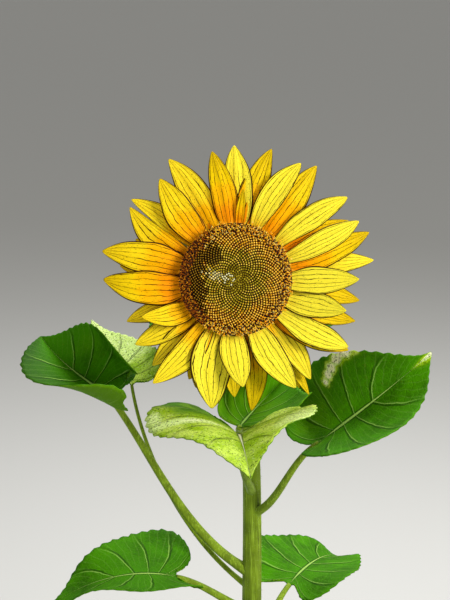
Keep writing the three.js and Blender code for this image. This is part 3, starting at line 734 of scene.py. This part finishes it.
def stem_finish(settings, name, lighter=1.0):
    finish = Finish(name, roughness=0.55, sheen=0.06, subsurface=0.05, gloss=0.1)
    place = finish.place()
    split = finish.node("ShaderNodeSeparateXYZ", {}, {0: place})
    height = Shade(finish, split.socket.node.outputs[2])
    green = scaled(settings.stem_green, lighter)
    mottle = finish.noise(place, 60.0, 4.0)
    streaks = finish.noise(finish.node("ShaderNodeVectorMath", dict(operation="MULTIPLY"),
                                       {0: place, 1: (900.0, 900.0, 30.0)}), 1.0, 3.0)
    colour = finish.blend(finish.ramp(mottle, 0.35, 0.7), green, scaled(green, 0.6))
    lighter_green = tuple(min(1, c * 1.9 + 0.03) for c in green)
    colour = finish.blend(finish.ramp(streaks, 0.5, 0.7, 0.0, 0.6), colour, lighter_green)
    colour = finish.blend(finish.ramp(height, 0.10, 0.0, 0.0, 0.55), colour, (0.13, 0.09, 0.035))
    finish.feed("Base Color", colour)
    finish.feed("Roughness", 0.45 + mottle * 0.25)
    finish.relief(streaks + mottle * 0.4, 0.0007, 0.6)
    return finish


def hairs(points, outward, length, rng, count):
    """Short stiff hairs that stand on a surface and lean a little."""
    parts = []
    for _ in range(count):
        i = rng.randrange(len(points))
        lean = unit(outward[i] + np.array([rng.uniform(-0.35, 0.35) for _ in range(3)]))
        side = unit(np.cross(lean, [0.3, 0.5, 0.8]))
        other = np.cross(lean, side)
        aside = np.array([rng.uniform(-0.8, 0.8) for _ in range(3)])
        foot = points[i] - outward[i] * 0.2 + aside * (1 - np.abs(outward[i]))
        tall = length / MM * rng.uniform(0.55, 1.1)
        ring = [foot + side * (HAIR_RADIUS * math.cos(a)) + other * (HAIR_RADIUS * math.sin(a))
                for a in HAIR_CORNERS]
        parts.append((np.array([*ring, foot + lean * tall]), [[0, 1, 3], [1, 2, 3], [2, 0, 3], [2, 1, 0]]))
    return parts


def lower_leaf(index):
    """The rule of the lower leaves: each stands a golden angle round the stem from the one under it."""
    heading = (FIRST_HEADING + GOLDEN_ANGLE * index) % 360
    share = index / (LOWER_LEAVES - 1)
    reach = 88 - 12 * share
    node = LOWEST_NODE + NODE_SPACING * index
    direction = math.radians(heading)
    half = 74 - 12 * share
    return dict(name=f"lower_{index + 1}", node=node,
                base=(reach * math.sin(direction), 10 - reach * math.cos(direction), node + 48),
                heading=heading, rise=18, droop=58, swing=8 if index % 2 == 0 else -8,
                roll=6 if index % 3 == 0 else -5, half=(half, half), fold=((14, 10), (14, 10)),
                bend=((10, 10), (10, 10)), lobes=1.3, lift=12, ruffle=(4, 3, index),
                length=168 - 28 * share, pale=((0, 0.12, 0.5), (0, 0.12, 0.5)))


def all_leaves():
    return UPPER_LEAVES + [lower_leaf(i) for i in range(LOWER_LEAVES)]


def petiole_line(leaf, count):
    """The petiole's centre line, which leaves the stem outwards and arrives as the leaf's table says."""
    stem = stem_line()
    start = stem[np.argmin(np.abs(stem[:, 2] - leaf["node"]))]
    arrive = unit(np.array(leaf.get("arrive") or midrib_axes(leaf, np.zeros(1))[0][0], float))
    end = np.array(leaf["base"], float)
    span = np.linalg.norm(end - start)
    out = unit((end - start) * [1, 1, 0])
    first = start + out * 0.3 * span + np.array([0, 0, 0.16 * span])
    last = end - arrive * 0.3 * span
    t = np.linspace(0, 1, count)[:, None]
    line = (1 - t) ** 3 * start + 3 * (1 - t) ** 2 * t * first + 3 * (1 - t) * t ** 2 * last + t ** 3 * end
    return even_steps(line, count)


class GrowStem(bpy.types.Operator):
    """Grow the ribbed stem with its hairs"""
    bl_idname = "sunflower.grow_stem"
    bl_label = "Stem"

    def execute(self, context):
        settings = context.scene.sunflower_stem
        line = stem_line(260)
        line = line[line[:, 2] >= 0]
        line[0, 2] = 0.0
        points, faces, layout, outward = tube(line, stem_radius(line), sides=54, ribs=9, rib_height=0.03)
        points[:, 2] = np.maximum(points[:, 2], 0.0)
        make_piece("stem_skin", points, faces, stem_finish(settings, "stem_green"), replaces=["stem"],
                   slot="stem", layout=layout)
        high = points[:, 2] > 6
        rng = random.Random(5)
        parts = hairs(points[high], outward[high], settings.hair_length, rng, settings.hair_count)
        finish = plain_finish("hair_pale", (0.42, 0.50, 0.22), 0.5)
        make_piece("stem_hairs", *joined(parts), finish, slot="stem")
        return {"FINISHED"}


class GrowPetioles(bpy.types.Operator):
    """Grow the petioles, each running from the stem to its blade, with fine hairs"""
    bl_idname = "sunflower.grow_petioles"
    bl_label = "Petioles"

    def execute(self, context):
        settings = context.scene.sunflower_stem
        finish = stem_finish(settings, "petiole_green", 1.15)
        parts = []
        for number, leaf in enumerate(all_leaves()):
            line = petiole_line(leaf, count=44)
            thick = leaf.get("thickness", 1.0)
            t = np.linspace(0, 1, len(line))
            radius = thick * (PETIOLE_ROOT_RADIUS + (PETIOLE_TIP_RADIUS - PETIOLE_ROOT_RADIUS) * t)
            radius = radius * (1 + ROOT_SWELL * np.clip(1 - t / SWELL_LENGTH, 0, 1) ** 2)
            points, faces, layout, outward = tube(line, radius, sides=20, ribs=5, rib_height=0.045)
            node = f"petiole_{leaf['name']}"
            make_piece(f"{node}_skin", points, faces, finish, replaces=[node], slot="petiole", layout=layout)
            rng = random.Random(100 + number)
            parts += hairs(points, outward, settings.hair_length * 0.7, rng, count=150)
        finish = plain_finish("petiole_hair", (0.45, 0.53, 0.25), 0.5)
        make_piece("petiole_hairs", *joined(parts), finish, slot="petiole")
        return {"FINISHED"}


# Leaves

# Side veins and teeth on each half of a blade
SIDE_VEINS, TEETH = 8, 29


def outline(t):
    """The blade's outline at t: distance along the midrib and half width, on a Catmull-Rom curve."""
    last = len(BLADE_OUTLINE) - 1
    place = last * np.clip(t, 0, 1)
    i = np.minimum(np.floor(place).astype(int), last - 1)
    w = (place - i)[..., None]
    p0, p1 = BLADE_OUTLINE[np.maximum(i - 1, 0)], BLADE_OUTLINE[i]
    p2, p3 = BLADE_OUTLINE[i + 1], BLADE_OUTLINE[np.minimum(i + 2, last)]
    v0, v1 = (p2 - p0) / 2, (p3 - p1) / 2
    return (2 * p1 - 2 * p2 + v0 + v1) * w ** 3 + (3 * p2 - 3 * p1 - 2 * v0 - v1) * w ** 2 + v0 * w + p1


def midrib_axes(leaf, distance):
    """The midrib's direction, the blade's other axes and the share of the length, by distance along it."""
    share = np.minimum(1, distance / leaf["length"])
    behind = np.minimum(1, np.maximum(0, -share) / 0.1)
    ahead = np.maximum(0, share)
    heading = np.radians(leaf["heading"] + leaf["swing"] * ahead)
    climb = np.radians(leaf["rise"] - leaf["droop"] * ahead - leaf["lift"] * behind)
    along = np.stack([np.sin(heading) * np.cos(climb), -np.cos(heading) * np.cos(climb), np.sin(climb)], -1)
    level = np.stack([np.cos(heading), np.sin(heading), 0 * heading], -1)
    roll = math.radians(leaf["roll"])
    side = level * math.cos(roll) + np.cross(along, level) * math.sin(roll)
    return along, side, np.cross(along, side), ahead


def midrib_point(leaf, distance, steps=10):
    point = np.broadcast_to(np.array(leaf["base"], float), (*distance.shape, 3)).copy()
    for i in range(steps):
        point += midrib_axes(leaf, (i + 0.5) / steps * distance)[0] * (distance / steps)[..., None]
    return point


def blade_sheet(leaf, rows, columns, tooth):
    """The upper surface of a blade, with rows from the base to the tip and columns from margin to margin."""
    t = np.linspace(0, 1, rows)[:, None]
    share = np.linspace(-1, 1, columns)
    share = (np.sign(share) * np.abs(share) ** 0.9)[None, :]
    edge = outline(t[:, 0])
    notch = leaf.get("notch", 1)
    edge[:, 1] *= notch + (1 - notch) * np.minimum(1, t[:, 0] / 0.3) ** 2
    edge_x = edge[:, :1] * leaf["length"] * np.where(edge[:, :1] < 0, leaf["lobes"], 1)
    half = np.where(share < 0, leaf["half"][0], leaf["half"][1])
    saw = (t * TEETH + 0.3 * np.sign(share)) % 1.0
    teeth = tooth / MM * (1.4 * np.where(saw < 0.72, saw / 0.72, (1 - saw) / 0.28) - 0.5)
    teeth = teeth * np.clip(np.abs(share) * 4 - 3, 0, 1)
    trimmed, place, length, cut = leaf.get("trim", (1, 0, 1, 0))
    wide = half * np.where(share * trimmed > 0, 1 - cut * np.exp(-((t - place) / length) ** 2), 1)
    reach = np.maximum(0.5, edge[:, 1:] * 2 * wide + teeth * np.minimum(1, edge[:, 1:] * 6))
    rib_x = leaf["length"] * (0.35 * t + 0.65 * t ** 4)
    x = rib_x + (edge_x - rib_x) * np.abs(share)
    y = reach * share
    _, side, face, ahead = midrib_axes(leaf, x)

    def by_side(pairs):
        first = pairs[0][0] + (pairs[0][1] - pairs[0][0]) * ahead
        second = pairs[1][0] + (pairs[1][1] - pairs[1][0]) * ahead
        return np.radians(np.where(share < 0, first, second))

    fold, bend = by_side(leaf["fold"]), by_side(leaf["bend"])
    bend = np.where(np.abs(bend) < 1e-3, 1e-3, bend)
    slope = fold + bend * np.abs(y) / half
    across = half * (np.sin(slope) - np.sin(fold)) / bend
    height, waves, phase = leaf["ruffle"]
    wave = height * share ** 2 * np.sin(2 * math.pi * waves * t + phase) * np.minimum(1, 6 * edge[:, 1:])
    lift = half * (np.cos(fold) - np.cos(slope)) / bend + wave
    points = midrib_point(leaf, x) + side * (np.sign(share) * across)[..., None] + face * lift[..., None]
    return points, t + 0 * share, share + 0 * t


def vein_depth(t, share):
    """How far the blade sinks at its veins, from 0 between them to 1 on them."""
    side_veins = np.abs(((t - 0.05 * np.abs(share) ** 1.5) * SIDE_VEINS + 0.5) % 1.0 - 0.5) * 2
    side_veins = np.exp(-(side_veins / 0.11) ** 2) * (1 - 0.5 * np.abs(share))
    return np.maximum(side_veins, np.exp(-(share / 0.05) ** 2))


def leaf_finish(settings):
    finish = Finish("leaf_blade", roughness=0.6, subsurface=0.04, gloss=0.045)
    along, across = finish.across()
    pale, side, seed = finish.tone()
    place = finish.place()
    out = finish.maths("ABSOLUTE", across * 2.0 - 1.0)
    mottle = finish.noise(place, 38.0, 5.0)
    cells = {"Vector": place, "Scale": 210.0}
    cells = finish.node("ShaderNodeTexVoronoi", dict(feature="DISTANCE_TO_EDGE"), cells)
    net = finish.ramp(cells, 0.0, 0.12, 1.0, 0.0)
    wander = finish.noise(finish.join(along * 5.0, across * 5.0, seed * 12.0), 1.0) * 0.03
    lead = along - out * out * 0.05 + wander - 0.015
    short_of_tip = finish.ramp(along, 0.9, 0.8)
    side_veins = finish.stripes(lead, SIDE_VEINS, 0.028) * finish.ramp(out, 1.0, 0.5, 0.1, 1.0) * short_of_tip
    small_veins = finish.stripes(lead + out * 0.06, SIDE_VEINS * 4, 0.10) * finish.ramp(out, 0.1, 0.3)
    midrib = finish.ramp(out, 0.026, 0.010)
    green = settings.leaf_green
    colour = finish.blend(finish.ramp(mottle, 0.3, 0.72), green, scaled(green, 2.1))
    broad = finish.noise(place, 13.0, 2.0)
    colour = finish.blend(finish.ramp(broad, 0.42, 0.66, 0.0, 0.7), colour, scaled(green, 2.4))
    colour = finish.blend(net * 0.3, colour, scaled(green, 2.6))
    # Painted shade where pale is below 0
    colour = finish.blend(finish.ramp(pale, -0.1, -1.6), colour, scaled(green, 0.35))
    # Painted light: a paler green where the leaf catches the light, nearly white where the glare is strongest
    light = finish.blend(finish.ramp(mottle, 0.35, 0.62), settings.pale_green, (0.30, 0.50, 0.006))
    light = finish.blend(finish.ramp(pale, 1.0, 1.35), light, (0.66, 0.85, 0.26))
    light = finish.blend(finish.ramp(pale, 1.5, 1.9), light, (1.0, 1.0, 0.72))
    speck = finish.ramp(finish.noise(place, 480.0, 2.0, 0.75), 0.55, 0.62)
    light = finish.blend(speck * 0.85, light, (0.02, 0.07, 0.002))
    # Painted glare: whitish speckles where the most light is painted
    glare_speckles = finish.ramp(finish.noise(place, 330.0, 3.0, 0.8), 0.56, 0.66)
    light = finish.blend(glare_speckles * finish.ramp(pale, 0.9, 1.3, 0.3, 1.0), light, (0.80, 0.92, 0.50))
    # Painted light: a brighter green where the blade catches some light
    lit_green = finish.blend(finish.ramp(mottle, 0.35, 0.62), (0.062, 0.20, 0.0), (0.10, 0.27, 0.0))
    colour = finish.blend(finish.ramp(pale + mottle * 0.3 - 0.15, 0.1, 0.55), colour, lit_green)
    colour = finish.blend(finish.ramp(pale + mottle * 0.6 - 0.3, 0.42, 0.85), colour, light)
    veins = finish.maths("MAXIMUM", finish.maths("MAXIMUM", side_veins * 0.6, midrib), small_veins * 0.08)
    # Painted shade along one side of each side vein and along both sides of the midrib
    vein_shade = finish.stripes(lead + 0.009, SIDE_VEINS, 0.05) * finish.ramp(out, 1.0, 0.6, 0.3, 1.0)
    vein_shade = finish.maths("MAXIMUM", vein_shade * short_of_tip, finish.ramp(out, 0.06, 0.03))
    colour = finish.blend(vein_shade * 0.65, colour, scaled(green, 0.2))
    # Where glare is painted, the midrib turns nearly white and the side veins dark
    on_painted_glare = finish.ramp(pale, 0.4, 0.9)
    bright = finish.blend(on_painted_glare, settings.vein_green, (0.90, 0.95, 0.66))
    dark = on_painted_glare * finish.ramp(out, 0.02, 0.06)
    colour = finish.blend(veins, colour, finish.blend(dark, bright, (0.035, 0.10, 0.004)))
    under = finish.blend(veins * 0.7, (0.088, 0.22, 0.002), (0.26, 0.40, 0.08))
    finish.feed("Base Color", finish.blend(side, colour, under))
    finish.feed("Roughness", 0.5 + mottle * 0.2 + side * 0.2)
    finish.relief(mottle * 0.6 - veins * 0.6 - net * 0.35, 0.0009, 0.7)
    return finish


def painted_light_and_shade(leaf, t, share):
    """How much light or shade is painted on a blade at each of its points: 0 plain green, 1 painted glare,
    more is whiter glare with speckles, less is painted shade.
    """
    sides = [near + (far - near) * np.clip((t - change) * 12 + 0.5, 0, 1)
             for near, far, change in leaf["pale"]]
    pale = np.where(share < 0, *sides)
    for along, across, length, width, amount in leaf.get("patches", ()):
        near = np.exp(-((t - along) / length) ** 2 - ((share - across) / width) ** 2)
        pale = pale + (amount - pale) * near
    return pale


class GrowLeaves(bpy.types.Operator):
    """Grow the heart-shaped blades with their veins and teeth"""
    bl_idname = "sunflower.grow_leaves"
    bl_label = "Leaves"

    def execute(self, context):
        settings = context.scene.sunflower_leaves
        finish = leaf_finish(settings)
        for number, leaf in enumerate(all_leaves()):
            rows, columns = FINE_MESH if number < FINE_LEAVES else COARSE_MESH
            top, t, share = blade_sheet(leaf, rows, columns, settings.tooth_depth)
            swell = (0.25 - vein_depth(t, share) * 0.36) * np.minimum(1, (1 - np.abs(share)) * 5 + 0.2)
            top = top + sheet_normal(top) * swell[..., None] * 0.9
            thickness = settings.blade_thickness / MM * (1 + 0.5 * np.exp(-(share / 0.06) ** 2))
            points, faces, side = shell(top, thickness)
            # Painted light and shade for each point of both sides
            pale = np.tile(painted_light_and_shade(leaf, t, share).ravel(), 2)
            tone = np.stack([pale, 1 - side, np.full(len(points), number / 17)], -1)
            node, slot = f"leaf_{leaf['name']}", "young_leaf" if leaf["name"] == "young" else "leaf"
            make_piece(f"{node}_blade", points, faces, finish, replaces=[node], slot=slot,
                       layout=sheet_layout(t, share), tone=tone)
        return {"FINISHED"}


# Receptacle and bracts

# The plane where the receptacle ends in front, and the rings of its cup: radius and depth behind that plane
RECEPTACLE_FRONT = -10.2
RECEPTACLE_CUP = [(12, 27), (15, 26.6), (20, 24.8), (26, 22), (32, 18), (38, 14), (43, 9), (46, 4), (48, 0)]
# The rows of bracts: reach, width, radius and depth of the root, how far the tips fall back, and the clock
# angle of the first
BRACT_ROWS = [(76, 19, 40, 4.5, 13, 4), (69, 17, 34, 10, 17, 16)]
BRACTS_IN_ROW, BRACT_STEPS = 15, 20


def bract_finish():
    finish = Finish("bract_green", roughness=0.6, sheen=0.25, subsurface=0.05)
    _, across = finish.across()
    mottle = finish.noise(finish.place(), 90.0, 4.0)
    lines = finish.stripes(across, 7.0, 0.16)
    colour = finish.blend(finish.ramp(mottle, 0.3, 0.7), (0.07, 0.17, 0.012), (0.13, 0.26, 0.03))
    colour = finish.blend(lines * 0.4, colour, (0.24, 0.36, 0.10))
    finish.feed("Base Color", colour)
    finish.feed("Roughness", 0.5 + mottle * 0.2)
    finish.relief(lines * -0.5 + mottle * 0.5, 0.0006)
    return finish


class GrowReceptacle(bpy.types.Operator):
    """Grow the green back of the head and its two rows of pointed bracts"""
    bl_idname = "sunflower.grow_receptacle"
    bl_label = "Receptacle"

    def execute(self, context):
        finish = bract_finish()
        rings = [(radius, RECEPTACLE_FRONT - depth) for radius, depth in RECEPTACLE_CUP]
        sides = 72
        points, faces = head_rings(rings, sides)
        stripes_round = np.tile(np.arange(sides) / sides * 8 % 1, len(rings))
        layout = np.stack([np.repeat(np.linspace(0, 1, len(rings)), sides), stripes_round], -1)
        make_piece("receptacle_cup", points, faces, finish, replaces=["receptacle"], slot="bract",
                   layout=layout)
        rng = random.Random(21)
        hair_parts = []
        for row, (reach, width, root, depth, fall, turn) in enumerate(BRACT_ROWS):
            for i in range(BRACTS_IN_ROW):
                clock = turn + i * 360 / BRACTS_IN_ROW + rng.uniform(-3, 3)
                t = np.linspace(0, 0.985, BRACT_STEPS)[:, None]
                v = np.linspace(-1, 1, 9)[None, :]
                half = width / 2 * (1 - t) ** 0.8 * (0.75 + 0.9 * t)
                radius = root + (reach - root) * t
                level = RECEPTACLE_FRONT - depth - (fall + rng.uniform(-3, 3)) * t ** 2
                level = level - 0.12 * half * v ** 2 + 0.5 * np.cos(v * 6) * (1 - t)
                spine = head_point(clock, radius, 0 * t)
                sideways = head_point(clock + 90, np.ones_like(t), 0) - HEAD_CENTRE
                top = spine + sideways * (half * v)[..., None] + FACING * level[..., None]
                points, faces, _ = shell(top, 1.3 * (1.1 - np.abs(v)))
                make_piece(f"bract_{row + 1}_{i + 1}", points, faces, finish, slot="bract",
                           layout=sheet_layout(t, v))
                rim = np.concatenate([top[2:, 0], top[2:, -1]])
                away = np.repeat([-sideways[0, 0], sideways[0, 0]], BRACT_STEPS - 2, 0)
                hair_parts += hairs(rim, away, 0.0016, rng, count=26)
        finish = plain_finish("bract_hair", (0.5, 0.58, 0.3), 0.5)
        make_piece("bract_hairs", *joined(hair_parts), finish, slot="bract")
        return {"FINISHED"}


# Stage

# Half the floor's width in metres, and the colour and strength of the light from all round
FLOOR_HALF, SKY_COLOUR, SKY_STRENGTH = 60.0, (1.0, 0.99, 0.95, 1.0), 0.38
# The camera's distance from the head, the height that it shows there and the height of its sensor
CAMERA_DISTANCE, SHOWN_HEIGHT, SENSOR_HEIGHT = 1400.0, 558.0, 36.0
# How far left of the head's centre and under it the camera aims
AIM_LEFT, AIM_UNDER = 9.8, 19.1


class SetStage(bpy.types.Operator):
    """Lay the pale floor and set the lights and the camera"""
    bl_idname = "sunflower.set_stage"
    bl_label = "Stage"

    def execute(self, context):
        settings = context.scene.sunflower_stage
        mesh = bpy.data.meshes.new("floor")
        corners = [(x * FLOOR_HALF, y * FLOOR_HALF, 0) for x, y in ((-1, -1), (1, -1), (1, 1), (-1, 1))]
        mesh.from_pydata(corners, [], [(0, 1, 2, 3)])
        finish = Finish("floor_pale", roughness=0.9)
        finish.feed("Base Color", (0.60, 0.60, 0.585))
        mesh.materials.append(finish.material)
        floor = bpy.data.objects.new("floor", mesh)
        context.scene.collection.objects.link(floor)
        self.light("key", (1.7, -1.6, 1.7), settings.key_power, 0.8, (1.0, 0.97, 0.9))
        self.light("fill", (-1.7, -1.5, 1.2), settings.fill_power, 1.6, (0.92, 0.96, 1.0))
        self.light("top", (0.3, 1.1, 2.2), settings.sky_power, 1.4, (1.0, 1.0, 1.0))
        world = bpy.data.worlds.new("studio")
        world.use_nodes = True
        background = next(n for n in world.node_tree.nodes if n.type == "BACKGROUND")
        background.inputs["Color"].default_value = SKY_COLOUR
        background.inputs["Strength"].default_value = SKY_STRENGTH
        context.scene.world = world
        context.scene.view_settings.view_transform = "Standard"
        self.camera(context)
        return {"FINISHED"}

    def light(self, name, place, power, size, colour):
        """A square lamp that shines at the head."""
        lamp = bpy.data.lights.new(name, "AREA")
        lamp.energy, lamp.size, lamp.color = power, size, colour
        body = bpy.data.objects.new(name, lamp)
        bpy.context.scene.collection.objects.link(body)
        self.aim(body, np.array(place), HEAD_CENTRE * MM)

    def aim(self, body, place, target):
        body.location = Vector(place)
        body.rotation_euler = Vector(target - place).to_track_quat("-Z", "Y").to_euler()

    def camera(self, context):
        """The photograph's view: straight at the flower's face, with the head above the frame's middle."""
        aim = HEAD_CENTRE - HEAD_RIGHT * AIM_LEFT - HEAD_UP * AIM_UNDER
        lens = bpy.data.cameras.new("camera")
        lens.sensor_fit, lens.sensor_height = "VERTICAL", SENSOR_HEIGHT
        lens.lens = SENSOR_HEIGHT * CAMERA_DISTANCE / SHOWN_HEIGHT
        lens.clip_end = 200.0
        body = bpy.data.objects.new("camera", lens)
        context.scene.collection.objects.link(body)
        self.aim(body, (aim + FACING * CAMERA_DISTANCE) * MM, aim * MM)
        context.scene.camera = body


class SunflowerPanel(bpy.types.Panel):
    """The sunflower's settings and its steps in order"""
    bl_idname = "VIEW3D_PT_sunflower"
    bl_label = "Sunflower"
    bl_space_type = "VIEW_3D"
    bl_region_type = "UI"
    bl_category = "Sunflower"

    def draw(self, context):
        layout = self.layout
        for group in (getattr(context.scene, name) for name, _ in SETTINGS):
            box = layout.box()
            for key in group.bl_rna.properties.keys():
                if key not in {"rna_type", "name"}:
                    box.prop(group, key)
        for step in STEPS:
            layout.operator(step.bl_idname)


SETTINGS = (("sunflower_head", SunflowerHead), ("sunflower_leaves", SunflowerLeaves),
            ("sunflower_stem", SunflowerStem), ("sunflower_stage", SunflowerStage))
STEPS = (GrowStem, GrowPetioles, GrowLeaves, GrowReceptacle, GrowRays, GrowDisc, SetStage)


def register():
    for name, group in SETTINGS:
        bpy.utils.register_class(group)
        setattr(bpy.types.Scene, name, bpy.props.PointerProperty(type=group))
    for step in (*STEPS, SunflowerPanel):
        bpy.utils.register_class(step)


def unregister():
    for step in (SunflowerPanel, *reversed(STEPS)):
        bpy.utils.unregister_class(step)
    for name, group in reversed(SETTINGS):
        delattr(bpy.types.Scene, name)
        bpy.utils.unregister_class(group)


def main():
    register()
    bpy.ops.sunflower.grow_stem()
    bpy.ops.sunflower.grow_petioles()
    bpy.ops.sunflower.grow_leaves()
    bpy.ops.sunflower.grow_receptacle()
    bpy.ops.sunflower.grow_rays()
    bpy.ops.sunflower.grow_disc()
    bpy.ops.sunflower.set_stage()


if __name__ == "__main__":
    main()
